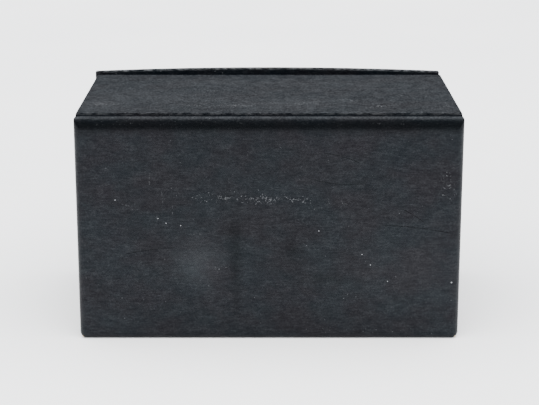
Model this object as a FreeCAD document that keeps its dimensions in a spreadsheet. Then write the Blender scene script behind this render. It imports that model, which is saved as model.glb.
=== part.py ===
"""A cloth-covered archival box with a hinged lid and a fore-edge flap, as a FreeCAD macro.

The box is case-made. One wrap of black book cloth holds four stiff panels: a thick wooden spine
panel with rounded edges, a base board, a lid board and a flap board. Cloth joints let the lid
swing back over the spine panel and the flap swing out from the lid. A five-board tray, covered in
the same cloth and lined with paper, is glued to the base board and the spine panel. Hidden
magnets hold the flap against the tray, and a label holder and a pull tab sit on the flap.

Frame: +X along the box, +Y from the spine panel to the flap, +Z up. The origin is the centre of
the footprint of the closed case, on the surface it stands on. Units are millimetres.
"""

import FreeCAD, Part  # noqa: E401  FreeCAD is imported first, because Part crashes without it

import math
import os
import sys

import Sketcher

NEAR = 1e-3  # two places this close are the same

# Driving sizes. Each is a plain number in the spreadsheet, under the same alias.
SIZES = [
    ("case_width", 313.0, "spine panel and flap, along X, over the cloth"),
    ("tray_depth", 172.5, "tray along Y, from the spine panel to the face under the flap"),
    ("wall_height", 178.2, "tray wall boards, without the cloth over their top edges"),
    ("case_board", 3.0, "binder's board of the base, lid and flap"),
    ("tray_board", 2.5, "binder's board of the tray"),
    ("cloth", 0.6, "book cloth with its glue"),
    ("lining", 0.4, "lining paper with its glue"),
    ("panel_thick", 12.0, "wooden spine panel, along Y"),
    ("spine_drop", 2.1, "how far the spine's top lies below the top of the lid"),
    ("head_round", 9.0, "outer radius of the spine's top edge"),
    ("foot_round", 4.0, "outer radius of the spine's bottom edge"),
    ("side_round", 6.0, "outer radius of the spine's upright edges"),
    ("foot_corner", 5.0, "outer radius of the spine's two bottom corners"),
    ("board_inset", 0.6, "base and lid boards' ends, in from the spine panel's ends"),
    ("square", 3.0, "base and lid boards' reach beyond the tray at each end"),
    ("lid_clear", 0.3, "gap between the tray's top edge and the lid's underside"),
    ("spine_joint", 3.4, "width of the cloth joint between spine panel and lid"),
    ("flap_joint", 3.3, "width of the cloth joint between lid and flap"),
    ("flap_clear", 0.4, "gap between the tray and the closed flap"),
    ("flap_rise", 2.4, "flap's top corners above the top of the lid"),
    ("flap_crown", 3.3, "rise of the flap's bowed top edge above its corners"),
    ("flap_foot", 1.2, "flap's bottom edge above the surface the box stands on"),
    ("flap_shift", 1.6, "flap's offset along -X"),
    ("turn_in", 12.0, "cloth turned in over a board's edge"),
    ("magnet_dia", 12.0, "closure magnets and their steel plates"),
    ("magnet_thick", 2.0, "closure magnets"),
    ("plate_thick", 1.0, "steel plates in the tray's front wall"),
    ("magnet_span", 200.0, "distance between the two closures, along X"),
    ("magnet_height", 30.0, "closure centres above the standing surface"),
    ("pocket_clear", 0.1, "radial room round a magnet or a plate"),
    ("holder_width", 84.0, "label holder along X"),
    ("holder_height", 50.0, "label holder along Z"),
    ("holder_base", 104.0, "label holder's lower edge above the standing surface"),
    ("holder_sheet", 0.6, "sheet steel of the label holder"),
    ("holder_slot", 1.0, "depth of the label holder's slot"),
    ("holder_rim", 5.0, "width of the label holder's rim"),
    ("holder_ear", 11.0, "reach of each riveted ear beside the label holder"),
    ("ear_height", 10.0, "riveted ears along Z"),
    ("card_thick", 0.4, "label card"),
    ("card_play", 0.4, "room at each edge of the label card in its slot"),
    ("rivet_dia", 3.0, "rivet shanks"),
    ("rivet_head", 6.0, "rivet heads"),
    ("rivet_dome", 1.0, "height of a rivet head"),
    ("clench_dia", 8.0, "rivets' clenched inner ends"),
    ("clench_thick", 0.5, "rivets' clenched inner ends"),
    ("tab_width", 22.0, "pull tab along X"),
    ("tab_length", 34.0, "pull tab along Z"),
    ("tab_thick", 1.4, "pull tab's leather"),
    ("tab_foot", 8.0, "pull tab's lower end above the standing surface"),
    ("tab_round", 9.5, "radius of the pull tab's lower corners"),
    ("tab_shoulder", 3.0, "radius of the pull tab's upper corners"),
]

doc = FreeCAD.newDocument("archival_box")
sheet = doc.addObject("Spreadsheet::Sheet", "dims")
for row, (alias, value, meaning) in enumerate(SIZES, start=1):
    sheet.set(f"A{row}", alias)
    sheet.set(f"B{row}", str(value))
    sheet.set(f"C{row}", meaning)
    sheet.setAlias(f"B{row}", alias)
doc.recompute()


def total(*terms):
    """Adds expressions, each in its own brackets."""
    return " + ".join(f"({term})" for term in terms)


def less(first, *terms):
    """Takes the other expressions away from the first."""
    return f"({first})" + "".join(f" - ({term})" for term in terms)


# Planes of the closed case, as expressions of the sheet's cells.
case_depth = "dims.cloth + dims.panel_thick + dims.tray_depth"
Y_SPINE = f"-({case_depth}) / 2"
Y_TRAY = total(Y_SPINE, "dims.cloth + dims.panel_thick")
Y_FRONT = f"({case_depth}) / 2"
Y_LID_NEAR = total(Y_TRAY, "dims.spine_joint")
Y_FLAP_IN = total(Y_FRONT, "dims.flap_clear")
Y_LID_FAR = less(Y_FLAP_IN, "dims.flap_joint")
Y_FLAP_BOARD = total(Y_FLAP_IN, "dims.cloth")
Y_FLAP_CLOTH = total(Y_FLAP_BOARD, "dims.case_board")
Y_FLAP_OUT = total(Y_FLAP_CLOTH, "dims.cloth")
Z_TRAY_FOOT = "2 * dims.cloth + dims.case_board"
Z_WALL_TOP = total(Z_TRAY_FOOT, "dims.wall_height")
Z_TRAY_TOP = total(Z_WALL_TOP, "dims.cloth")
Z_LID_UNDER = total(Z_TRAY_TOP, "dims.lid_clear")
Z_LID_BOARD = total(Z_LID_UNDER, "dims.cloth")
Z_LID_CLOTH = total(Z_LID_BOARD, "dims.case_board")
Z_LID_TOP = total(Z_LID_CLOTH, "dims.cloth")
Z_SPINE_TOP = less(Z_LID_TOP, "dims.spine_drop")
board_span = "dims.case_width - 2 * dims.board_inset"
tray_span = "dims.case_width - 2 * dims.board_inset - 2 * dims.square"
wall_span = "dims.case_width - 2 * (dims.board_inset + dims.square + dims.cloth)"
inner_span = less(wall_span, "2 * dims.tray_board")
X_FLAP = "-dims.flap_shift"


def place(thing, **expressions):
    """Binds a thing's position to expressions, given as x, y and z."""
    for axis, expression in expressions.items():
        thing.setExpression(f".Placement.Base.{axis}", expression)


def block(label, width, depth, height, y, z, x_middle="0"):
    """A box that is centred on x_middle along X, with its low Y and Z faces at y and z."""
    thing = doc.addObject("Part::Box", label)
    thing.Label = label
    thing.setExpression("Length", width)
    thing.setExpression("Width", depth)
    thing.setExpression("Height", height)
    place(thing, x=f"({x_middle}) - ({width}) / 2", y=y, z=z)
    return thing


def disc(label, diameter, thick, x, y, z):
    """A flat round piece whose axis lies along +Y from y."""
    thing = doc.addObject("Part::Cylinder", label)
    thing.Label = label
    thing.setExpression("Radius", f"({diameter}) / 2")
    thing.setExpression("Height", thick)
    thing.Placement = FreeCAD.Placement(
        FreeCAD.Vector(), FreeCAD.Rotation(FreeCAD.Vector(1, 0, 0), -90)
    )
    place(thing, x=x, y=y, z=z)
    return thing


def fused(label, shapes):
    """Several shapes as one."""
    thing = doc.addObject("Part::MultiFuse", label)
    thing.Label = label
    thing.Shapes = shapes
    return thing


def cut(label, base, tools):
    """The base without the tools."""
    thing = doc.addObject("Part::Cut", label)
    thing.Label = label
    thing.Base = base
    thing.Tool = tools[0] if len(tools) == 1 else fused(f"{label}_tools", tools)
    return thing


def gathered(label, shapes):
    """Separate solids of one kind, kept together in one node."""
    thing = doc.addObject("Part::Compound", label)
    thing.Label = label
    thing.Links = shapes
    return thing


def new_sketch(body, role, name):
    """A sketch on one of a body's origin planes."""
    sketch = body.newObject("Sketcher::SketchObject", name)
    plane = next(f for f in body.Origin.OriginFeatures if f.Role == role)
    sketch.AttachmentSupport = (plane, [""])
    sketch.MapMode = "FlatFace"
    return sketch


def outline(sketch, width, height, low, crown=None):
    """A rectangle about the sketch's vertical axis, from low up, or one whose top is an arc.

    Args:
        sketch: the sketch to draw in.
        width: expression of the width.
        height: expression of the height at the two upper corners.
        low: expression of the lower edge's place on the vertical axis.
        crown: alias of the arc's rise above the corners, or None for a straight top.
    """
    low_left, low_right, up_right, up_left = (
        FreeCAD.Vector(x, y, 0) for x, y in ((-50, 10), (50, 10), (50, 60), (-50, 60))
    )
    bottom = sketch.addGeometry(Part.LineSegment(low_left, low_right))
    right = sketch.addGeometry(Part.LineSegment(low_right, up_right))
    left = sketch.addGeometry(Part.LineSegment(up_left, low_left))
    if crown:
        # The arc starts at the right corner and runs over the top to the left one.
        circle = Part.Circle(FreeCAD.Vector(0, -65, 0), FreeCAD.Vector(0, 0, 1), 134.6)
        lean = math.atan2(50, 125)
        arc = Part.ArcOfCircle(circle, math.pi / 2 - lean, math.pi / 2 + lean)
        top = sketch.addGeometry(arc)
    else:
        top = sketch.addGeometry(Part.LineSegment(up_right, up_left))
    joined = Sketcher.Constraint
    sketch.addConstraint(joined("Coincident", bottom, 2, right, 1))
    sketch.addConstraint(joined("Coincident", right, 2, top, 1))
    sketch.addConstraint(joined("Coincident", top, 2, left, 1))
    sketch.addConstraint(joined("Coincident", left, 2, bottom, 1))
    sketch.addConstraint(joined("Vertical", right))
    sketch.addConstraint(joined("Vertical", left))
    sketch.addConstraint(joined("Symmetric", bottom, 1, bottom, 2, -2))
    for kind, places, expression in (
        ("DistanceX", (bottom, 1, bottom, 2), width),
        ("DistanceY", (right, 1, right, 2), height),
        ("DistanceY", (-1, 1, bottom, 1), low),
    ):
        bound = sketch.addConstraint(joined(kind, *places, 10.0))
        sketch.setExpression(f"Constraints[{bound}]", expression)
    if crown:
        # A circle through both corners that rises by crown has this radius.
        sketch.addConstraint(joined("Equal", right, left))
        radius = f"(({width})^2 / 4 + dims.{crown}^2) / (2 * dims.{crown})"
        bound = sketch.addConstraint(joined("Radius", top, 400.0))
        sketch.setExpression(f"Constraints[{bound}]", radius)
    else:
        sketch.addConstraint(joined("Horizontal", top))


def plate(label, width, height, thick, y, z, crown=None, x_middle="0"):
    """An upright plate in the XZ plane, padded along +Y from y."""
    body = doc.addObject("PartDesign::Body", label)
    body.Label = label
    sketch = new_sketch(body, "XZ_Plane", f"{label}_outline")
    outline(sketch, width, height, z, crown)
    pad = body.newObject("PartDesign::Pad", f"{label}_pad")
    pad.Profile = sketch
    pad.setExpression("Length", thick)
    pad.Reversed = True
    sketch.Visibility = False
    place(body, x=x_middle, y=y)
    doc.recompute()
    return body


def rounded(body, chosen, radius):
    """Fillets the edges of a body's tip that chosen picks by their middle point.

    Args:
        body: the body to round.
        chosen: function of an edge's middle point and its way that says if the edge is meant.
        radius: expression of the radius.
    """
    base = body.Tip
    names = []
    for number, edge in enumerate(base.Shape.Edges, start=1):
        ends = [vertex.Point for vertex in edge.Vertexes]
        if len(ends) == 2 and chosen((ends[0] + ends[1]) * 0.5, ends[1] - ends[0]):
            names.append(f"Edge{number}")
    if not names:
        sys.exit(f"{body.Label}: no edge to round")
    fillet = body.newObject("PartDesign::Fillet", f"{body.Label}_fillet{len(body.Group)}")
    fillet.Base = (base, names)
    fillet.setExpression("Radius", radius)
    doc.recompute()


def along(way, axis):
    """True if an edge's way runs along an axis: 0 is X, 1 is Y and 2 is Z."""
    return way.Length - abs(way[axis]) < NEAR


# ------------------------------------------------------------------------------ spine panel
def spine_block(label, skin):
    """The spine's block: rounded along its head and foot, its upright edges and bottom corners.

    Args:
        label: the block's name.
        skin: 1 for the outside of the cloth, 0 for the bare wood, which lies one cloth inside.
    """
    inside = f"(1 - {skin}) * dims.cloth"
    width = less("dims.case_width", f"2 * {inside}")
    height = less(Z_SPINE_TOP, f"2 * {inside}")
    thick = less("dims.panel_thick + dims.cloth", inside)
    face = total(Y_SPINE, inside)
    slabs = []
    for part in ("profile", "plan", "front"):
        name = f"{label}_{part}"
        slabs.append(plate(name, width, height, thick, face, inside))
    profile, plan, front = slabs

    heights = profile.Shape.BoundBox.ZMin, profile.Shape.BoundBox.ZMax

    def at_face(middle):
        """True on the outer face, which every slab has at y = 0 of its own body."""
        return abs(middle.y) < NEAR

    for side, radius in zip(heights, ("foot_round", "head_round")):
        rounded(
            profile,
            lambda middle, way, z=side: (
                at_face(middle) and along(way, 0) and abs(middle.z - z) < NEAR
            ),
            f"dims.{radius} - {inside}",
        )
    rounded(
        plan,
        lambda middle, way: at_face(middle) and along(way, 2),
        f"dims.side_round - {inside}",
    )
    rounded(
        front,
        lambda middle, way: along(way, 1) and abs(middle.z - heights[0]) < NEAR,
        f"dims.foot_corner - {inside}",
    )
    common = doc.addObject("Part::MultiCommon", label)
    common.Label = label
    common.Shapes = slabs
    return common


spine_panel = spine_block("spine_panel", 0)
spine_cloth = cut("spine_cloth", spine_block("spine_cloth_outside", 1), [spine_panel])


# ------------------------------------------------------------------------------ base and lid
def covered_board(name, length, y, z_board, outside, near_cloth=1):
    """A flat board, the cloth wrapped round it with its turn-ins, and the paper inside them.

    Args:
        name: the board's name, such as lid.
        length: expression of the covered board's size along Y.
        y: expression of the covered board's low Y face.
        z_board: expression of the bare board's underside.
        outside: "top" or "underside", the face that the whole sheet of cloth covers.
        near_cloth: 1 if the cloth goes round the near edge too, 0 if the board is bare there.

    Returns:
        The board, its cloth and the sheet of paper that lies flush within the turn-ins.
    """
    board = block(
        f"{name}_board",
        less(board_span, "2 * dims.cloth"),
        less(length, f"(1 + {near_cloth}) * dims.cloth"),
        "dims.case_board",
        total(y, f"{near_cloth} * dims.cloth"),
        z_board,
    )
    z_over = total(z_board, "dims.case_board")
    z_under = less(z_board, "dims.cloth")
    paper = block(
        f"{name}_lining",
        less(board_span, "2 * dims.turn_in"),
        less(length, f"(1 + {near_cloth}) * dims.turn_in"),
        "dims.cloth",
        total(y, f"{near_cloth} * dims.turn_in"),
        z_under if outside == "top" else z_over,
    )
    wrap = block(
        f"{name}_wrap", board_span, length, "dims.case_board + 2 * dims.cloth", y, z_under
    )
    return board, cut(f"{name}_cloth", wrap, [board, paper]), paper


lid_length = less(Y_LID_FAR, Y_LID_NEAR)
lid_board, lid_cloth, lid_lining = covered_board(
    "lid", lid_length, Y_LID_NEAR, Z_LID_BOARD, "top"
)
base_board, base_cloth, base_lining = covered_board(
    "base", "dims.tray_depth", Y_TRAY, "dims.cloth", "underside", near_cloth=0
)

# ------------------------------------------------------------------------------ tray
wall_depth = less("dims.tray_depth", "dims.cloth")
tray_floor = block(
    "tray_floor",
    inner_span,
    less(wall_depth, "2 * dims.tray_board"),
    "dims.tray_board",
    total(Y_TRAY, "dims.tray_board"),
    Z_TRAY_FOOT,
)
tray_back_wall = block(
    "tray_back_wall", inner_span, "dims.tray_board", "dims.wall_height", Y_TRAY, Z_TRAY_FOOT
)
y_front_wall = less(Y_FRONT, "dims.cloth + dims.tray_board")
front_wall_blank = block(
    "front_wall_blank", inner_span, "dims.tray_board", "dims.wall_height", y_front_wall, Z_TRAY_FOOT
)
side_walls = []
for side_name, side in (("left", "-1"), ("right", "1")):
    side_walls.append(
        block(
            f"tray_{side_name}_wall",
            "dims.tray_board",
            wall_depth,
            "dims.wall_height",
            Y_TRAY,
            Z_TRAY_FOOT,
            x_middle=f"{side} * (({wall_span}) - dims.tray_board) / 2",
        )
    )

tray_envelope = block(
    "tray_envelope",
    tray_span,
    "dims.tray_depth",
    less(Z_TRAY_TOP, Z_TRAY_FOOT),
    Y_TRAY,
    Z_TRAY_FOOT,
)
tray_boards = block(
    "tray_boards", wall_span, wall_depth, "dims.wall_height", Y_TRAY, Z_TRAY_FOOT
)
turn_in_span = less(inner_span, "2 * dims.cloth")
turn_in_depth = less(wall_depth, "2 * (dims.tray_board + dims.cloth)")
y_turn_in = total(Y_TRAY, "dims.tray_board + dims.cloth")
rim_hole = block(
    "rim_hole", turn_in_span, turn_in_depth, "dims.turn_in", y_turn_in,
    less(Z_TRAY_TOP, "dims.turn_in"),
)
tray_core = block(
    "tray_core",
    inner_span,
    less(wall_depth, "2 * dims.tray_board"),
    "dims.turn_in - dims.cloth",
    total(Y_TRAY, "dims.tray_board"),
    less(Z_TRAY_TOP, "dims.turn_in"),
)
rim_ring = cut("rim_ring", tray_core, [rim_hole])
tray_skin = cut("tray_skin", tray_envelope, [tray_boards, rim_hole])
tray_cloth = fused("tray_cloth", [tray_skin, rim_ring])

# Lining papers: one on the floor, and one on each wall from the floor up to the turned-in cloth.
lining_height = less(Z_TRAY_TOP, Z_TRAY_FOOT, "dims.turn_in + dims.tray_board")
z_lining = total(Z_TRAY_FOOT, "dims.tray_board")
y_inside = total(Y_TRAY, "dims.tray_board")
inner_depth = less(wall_depth, "2 * dims.tray_board")
back_lining = block("back_lining", inner_span, "dims.lining", lining_height, y_inside, z_lining)
front_lining = block(
    "front_lining", inner_span, "dims.lining", lining_height,
    less(y_front_wall, "dims.lining"), z_lining,
)
side_linings = []
for side_name, side in (("left", "-1"), ("right", "1")):
    side_linings.append(
        block(
            f"{side_name}_lining",
            "dims.lining",
            less(inner_depth, "2 * dims.lining"),
            lining_height,
            total(y_inside, "dims.lining"),
            z_lining,
            x_middle=f"{side} * (({inner_span}) - dims.lining) / 2",
        )
    )
floor_lining = block(
    "floor_lining",
    less(inner_span, "2 * dims.lining"),
    less(inner_depth, "2 * dims.lining"),
    "dims.lining",
    total(y_inside, "dims.lining"),
    z_lining,
)

# ------------------------------------------------------------------------------ flap
flap_height = less(total(Z_LID_TOP, "dims.flap_rise"), "dims.flap_foot")
flap_blank = plate(
    "flap_blank",
    "dims.case_width - 2 * dims.cloth",
    less(flap_height, "2 * dims.cloth"),
    "dims.case_board",
    Y_FLAP_BOARD,
    "dims.flap_foot + dims.cloth",
    crown="flap_crown",
    x_middle=X_FLAP,
)
flap_wrap = plate(
    "flap_wrap",
    "dims.case_width",
    flap_height,
    "dims.case_board + 2 * dims.cloth",
    Y_FLAP_IN,
    "dims.flap_foot",
    crown="flap_crown",
    x_middle=X_FLAP,
)
flap_lining = block(
    "flap_lining",
    "dims.case_width - 2 * dims.turn_in",
    "dims.cloth",
    less(flap_height, "2 * dims.turn_in"),
    Y_FLAP_IN,
    "dims.flap_foot + dims.turn_in",
    x_middle=X_FLAP,
)


# ------------------------------------------------------------------------------ closures
def pair_of(label, diameter, thick, y):
    """Two discs, one at each closure."""
    return [
        disc(f"{label}_{name}", diameter, thick, f"{sign} * dims.magnet_span / 2", y,
             "dims.magnet_height")
        for name, sign in (("left", "-1"), ("right", "1"))
    ]


pocket_dia = "dims.magnet_dia + 2 * dims.pocket_clear"
flap_magnets = gathered(
    "flap_magnets", pair_of("flap_magnet", "dims.magnet_dia", "dims.magnet_thick", Y_FLAP_BOARD)
)
magnet_pockets = pair_of("magnet_pocket", pocket_dia, "dims.magnet_thick", Y_FLAP_BOARD)
y_plate = less(Y_FRONT, "dims.cloth + dims.plate_thick")
tray_plates = gathered(
    "tray_closure_plates", pair_of("tray_plate", "dims.magnet_dia", "dims.plate_thick", y_plate)
)
plate_pockets = pair_of("plate_pocket", pocket_dia, "dims.plate_thick", y_plate)
tray_front_wall = cut("tray_front_wall", front_wall_blank, plate_pockets)

# ------------------------------------------------------------------------------ label holder
holder_deep = "2 * dims.holder_sheet + dims.holder_slot"
slot_width = less("dims.holder_width", "2 * dims.holder_sheet")
holder_block = block(
    "holder_block", "dims.holder_width", holder_deep, "dims.holder_height",
    Y_FLAP_OUT, "dims.holder_base", x_middle=X_FLAP,
)
holder_ears = block(
    "holder_ears", "dims.holder_width + 2 * dims.holder_ear", "dims.holder_sheet",
    "dims.ear_height", Y_FLAP_OUT,
    "dims.holder_base + (dims.holder_height - dims.ear_height) / 2", x_middle=X_FLAP,
)
holder_slot = block(
    "holder_slot", slot_width, "dims.holder_slot", "dims.holder_height",
    total(Y_FLAP_OUT, "dims.holder_sheet"), "dims.holder_base + dims.holder_sheet",
    x_middle=X_FLAP,
)
holder_window = block(
    "holder_window", "dims.holder_width - 2 * dims.holder_rim", "dims.holder_sheet",
    "dims.holder_height - dims.holder_rim",
    total(Y_FLAP_OUT, "dims.holder_sheet + dims.holder_slot"),
    "dims.holder_base + dims.holder_rim", x_middle=X_FLAP,
)
holder_solid = fused("holder_solid", [holder_block, holder_ears])
label_card = block(
    "label_card", less(slot_width, "2 * dims.card_play"), "dims.card_thick",
    "dims.holder_height - dims.holder_sheet - 2 * dims.card_play",
    total(Y_FLAP_OUT, "dims.holder_sheet + (dims.holder_slot - dims.card_thick) / 2"),
    "dims.holder_base + dims.holder_sheet + dims.card_play", x_middle=X_FLAP,
)

# ------------------------------------------------------------------------------ pull tab
pull_tab_blank = plate(
    "pull_tab_blank", "dims.tab_width", "dims.tab_length", "dims.tab_thick",
    Y_FLAP_OUT, "dims.tab_foot", x_middle=X_FLAP,
)
tab_box = pull_tab_blank.Shape.BoundBox
for z_end, radius in ((tab_box.ZMin, "tab_round"), (tab_box.ZMax, "tab_shoulder")):
    rounded(
        pull_tab_blank,
        lambda middle, way, z_end=z_end: along(way, 1) and abs(middle.z - z_end) < NEAR,
        f"min(dims.{radius}; 0.45 * dims.tab_width)",
    )

# ------------------------------------------------------------------------------ rivets
# Each rivet holds a sheet of the given thickness on the flap: two ears, and the pull tab.
ear_middle = "(dims.holder_width + dims.holder_ear) / 2"
ear_height = "dims.holder_base + dims.holder_height / 2"
tab_rivet_height = "dims.tab_foot + dims.tab_length - dims.rivet_head"
RIVETS = {
    "left_ear": (f"{X_FLAP} - {ear_middle}", ear_height, "dims.holder_sheet"),
    "right_ear": (f"{X_FLAP} + {ear_middle}", ear_height, "dims.holder_sheet"),
    "tab": (X_FLAP, tab_rivet_height, "dims.tab_thick"),
}
covered_thick = "dims.case_board + dims.cloth"


def rivet_hole(name, piece, y, thick):
    """The hole for one rivet through a piece of the given thickness from y."""
    x, z, _ = RIVETS[name]
    return disc(f"{piece}_{name}_hole", "dims.rivet_dia", thick, x, y, z)


def clench_seat(name):
    """The seat in the inside of the flap board for a rivet's clenched end."""
    x, z, _ = RIVETS[name]
    return disc(f"{name}_seat", "dims.clench_dia", "dims.clench_thick", x, Y_FLAP_BOARD, z)


def rivet(name):
    """A rivet through the flap, turned about its axis: clenched end, shank and domed head."""
    x, z, grip = RIVETS[name]
    body = doc.addObject("PartDesign::Body", f"{name}_rivet")
    sketch = new_sketch(body, "YZ_Plane", f"{name}_rivet_profile")
    corners = [(0, 0), (0, 4), (1, 4), (1, 2), (5, 2), (5, 3)]
    points = [FreeCAD.Vector(across, out, 0) for across, out in corners]
    steps = [
        sketch.addGeometry(Part.LineSegment(here, there)) for here, there in zip(points, points[1:])
    ]
    end, flange, step, shank, shoulder = steps
    # The dome is an arc about a centre on the rivet's axis, from the axis out to the rim.
    circle = Part.Circle(FreeCAD.Vector(1, 0, 0), FreeCAD.Vector(0, 0, 1), 5)
    dome = sketch.addGeometry(Part.ArcOfCircle(circle, 0, math.asin(3 / 5)))
    spine = sketch.addGeometry(Part.LineSegment(FreeCAD.Vector(6, 0, 0), points[0]))
    joined = Sketcher.Constraint
    for first, second in zip(steps, steps[1:]):
        sketch.addConstraint(joined("Coincident", first, 2, second, 1))
    sketch.addConstraint(joined("Coincident", shoulder, 2, dome, 2))
    sketch.addConstraint(joined("Coincident", dome, 1, spine, 1))
    sketch.addConstraint(joined("Coincident", spine, 2, end, 1))
    sketch.addConstraint(joined("Coincident", end, 1, -1, 1))
    sketch.addConstraint(joined("PointOnObject", dome, 3, -1))
    for upright in (end, step, shoulder):
        sketch.addConstraint(joined("Vertical", upright))
    for level in (flange, shank, spine):
        sketch.addConstraint(joined("Horizontal", level))
    reach = total(covered_thick, grip)
    for kind, line, size in (
        ("DistanceY", end, "dims.clench_dia / 2"),
        ("DistanceX", flange, "dims.clench_thick"),
        ("DistanceY", step, "dims.rivet_dia / 2"),
        ("DistanceX", shank, reach),
        ("DistanceY", shoulder, "dims.rivet_head / 2"),
    ):
        bound = sketch.addConstraint(joined(kind, -1, 1, line, 2, 3.0))
        sketch.setExpression(f"Constraints[{bound}]", size)
    bound = sketch.addConstraint(joined("DistanceX", -1, 1, spine, 1, 6.0))
    sketch.setExpression(f"Constraints[{bound}]", total(reach, "dims.rivet_dome"))
    turned = body.newObject("PartDesign::Revolution", f"{name}_rivet_turned")
    turned.Profile = sketch
    turned.ReferenceAxis = (sketch, ["H_Axis"])
    turned.Angle = 360
    sketch.Visibility = False
    place(body, x=x, y=Y_FLAP_BOARD, z=z)
    return body


label_holder = cut(
    "label_holder",
    holder_solid,
    [holder_slot, holder_window]
    + [rivet_hole(ear, "holder", Y_FLAP_OUT, "dims.holder_sheet")
       for ear in ("left_ear", "right_ear")],
)
pull_tab = cut(
    "pull_tab", pull_tab_blank, [rivet_hole("tab", "tab", Y_FLAP_OUT, "dims.tab_thick")]
)
label_holder_rivets = gathered("label_holder_rivets", [rivet("left_ear"), rivet("right_ear")])
pull_tab_rivet = gathered("pull_tab_rivet", [rivet("tab")])

board_holes = [rivet_hole(name, "board", Y_FLAP_BOARD, "dims.case_board") for name in RIVETS]
cloth_holes = [rivet_hole(name, "cloth", Y_FLAP_CLOTH, "dims.cloth") for name in RIVETS]
clench_seats = [clench_seat(name) for name in RIVETS]
flap_board = cut("flap_board", flap_blank, magnet_pockets + board_holes + clench_seats)
flap_cloth = cut("flap_cloth", flap_wrap, [flap_blank, flap_lining] + cloth_holes)


# ------------------------------------------------------------------------------ cloth joints
lid_joint_cloth = block(
    "lid_joint_cloth", board_span, "dims.spine_joint", "dims.cloth", Y_TRAY, Z_TRAY_TOP
)
flap_joint_cloth = block(
    "flap_joint_cloth",
    less("dims.case_width", "2 * dims.flap_shift"),
    "dims.flap_joint",
    "dims.cloth",
    Y_LID_FAR,
    total(Z_LID_BOARD, "dims.cloth"),
)

NODES = [
    spine_panel, spine_cloth, base_board, base_cloth, base_lining,
    tray_floor, tray_back_wall, tray_front_wall, *side_walls, tray_cloth,
    floor_lining, back_lining, front_lining, *side_linings, tray_plates,
    lid_board, lid_cloth, lid_lining, lid_joint_cloth, flap_joint_cloth,
    flap_board, flap_cloth, flap_lining, flap_magnets,
    label_holder, label_holder_rivets, label_card, pull_tab, pull_tab_rivet,
]

doc.recompute()
for thing in doc.Objects:
    if any(word in thing.State for word in ("Invalid", "Error")):
        sys.exit(f"{thing.Label} failed: {thing.State}")
os.makedirs("parts", exist_ok=True)
for node in NODES:
    shape = node.Shape
    if shape.isNull() or not shape.isValid() or not shape.Solids or shape.Volume <= 0:
        sys.exit(f"{node.Label} has no valid solid")
    shape.exportStep(f"parts/{node.Label}.step")
    box = shape.BoundBox
    print(
        f"{node.Label}: {len(shape.Solids)} solid(s), "
        f"{box.XMin:.2f}..{box.XMax:.2f}  {box.YMin:.2f}..{box.YMax:.2f}  "
        f"{box.ZMin:.2f}..{box.ZMax:.2f}  {shape.Volume / 1000:.2f} cm3"
    )
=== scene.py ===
"""The finished look of a cloth-covered archival box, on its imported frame.

The box is case-made: book cloth is glued round a thick spine panel, a base board, a lid board and
a flap board, and round a tray that stands inside them. Each covered piece is a closed surface
worked out on a grid, and each finish is a small class that makes one procedural material.
Lengths are in metres. +X runs along the box, +Y from the spine to the flap, and +Z is up.
"""

import logging
import math
from dataclasses import dataclass, field
from enum import Enum

import bmesh
import bpy
import numpy as np
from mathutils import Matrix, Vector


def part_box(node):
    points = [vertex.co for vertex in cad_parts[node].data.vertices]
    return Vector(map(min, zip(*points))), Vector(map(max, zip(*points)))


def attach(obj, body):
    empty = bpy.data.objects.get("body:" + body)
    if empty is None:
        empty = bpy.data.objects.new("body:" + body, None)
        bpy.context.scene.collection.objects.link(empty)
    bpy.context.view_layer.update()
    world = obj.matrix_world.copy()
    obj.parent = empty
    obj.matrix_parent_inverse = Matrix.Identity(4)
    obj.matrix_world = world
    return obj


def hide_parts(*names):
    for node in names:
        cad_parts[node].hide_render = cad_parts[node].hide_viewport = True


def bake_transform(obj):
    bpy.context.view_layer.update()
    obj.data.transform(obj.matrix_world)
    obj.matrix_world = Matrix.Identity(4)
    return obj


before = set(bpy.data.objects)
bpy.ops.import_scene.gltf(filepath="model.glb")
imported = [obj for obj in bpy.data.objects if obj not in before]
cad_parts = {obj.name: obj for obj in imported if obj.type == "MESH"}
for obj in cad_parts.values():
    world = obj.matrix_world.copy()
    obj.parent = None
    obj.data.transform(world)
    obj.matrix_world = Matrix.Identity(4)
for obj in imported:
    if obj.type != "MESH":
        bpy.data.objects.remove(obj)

Socket = bpy.types.NodeSocket
Value = Socket | float

MM = 0.001
LOG = logging.getLogger("archival_box")


# ---------------------------------------------------------------------------------- materials
def linear(code: str) -> tuple[float, float, float, float]:
    """Turns an sRGB hex colour into linear light.

    Args:
        code: six hex digits.

    Returns:
        Red, green, blue and an alpha of 1.
    """
    shares = (int(code[place:place + 2], 16) / 255 for place in (0, 2, 4))
    lit = (s / 12.92 if s <= 0.04045 else ((s + 0.055) / 1.055) ** 2.4 for s in shares)
    return (*lit, 1.0)


def per_metre(size_mm: float) -> float:
    """Says how often a pattern repeats in a metre.

    Args:
        size_mm: the pattern's size in millimetres.

    Returns:
        Repeats per metre.
    """
    return 1000.0 / size_mm


def add(
    tree: bpy.types.NodeTree, kind: str, inputs: dict | None = None, **settings: object
) -> bpy.types.Node:
    """Adds a node with its settings, values and links.

    Args:
        tree: the node tree.
        kind: the node's type without its ShaderNode prefix.
        inputs: input name or number to a value or to the output socket that feeds it.
        settings: the node's own properties.

    Returns:
        The node.
    """
    made = tree.nodes.new(f"ShaderNode{kind}")
    for name, value in settings.items():
        setattr(made, name, value)
    for key, value in (inputs or {}).items():
        if isinstance(value, bpy.types.NodeSocket):
            tree.links.new(value, made.inputs[key])
        else:
            made.inputs[key].default_value = value
    return made


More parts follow.
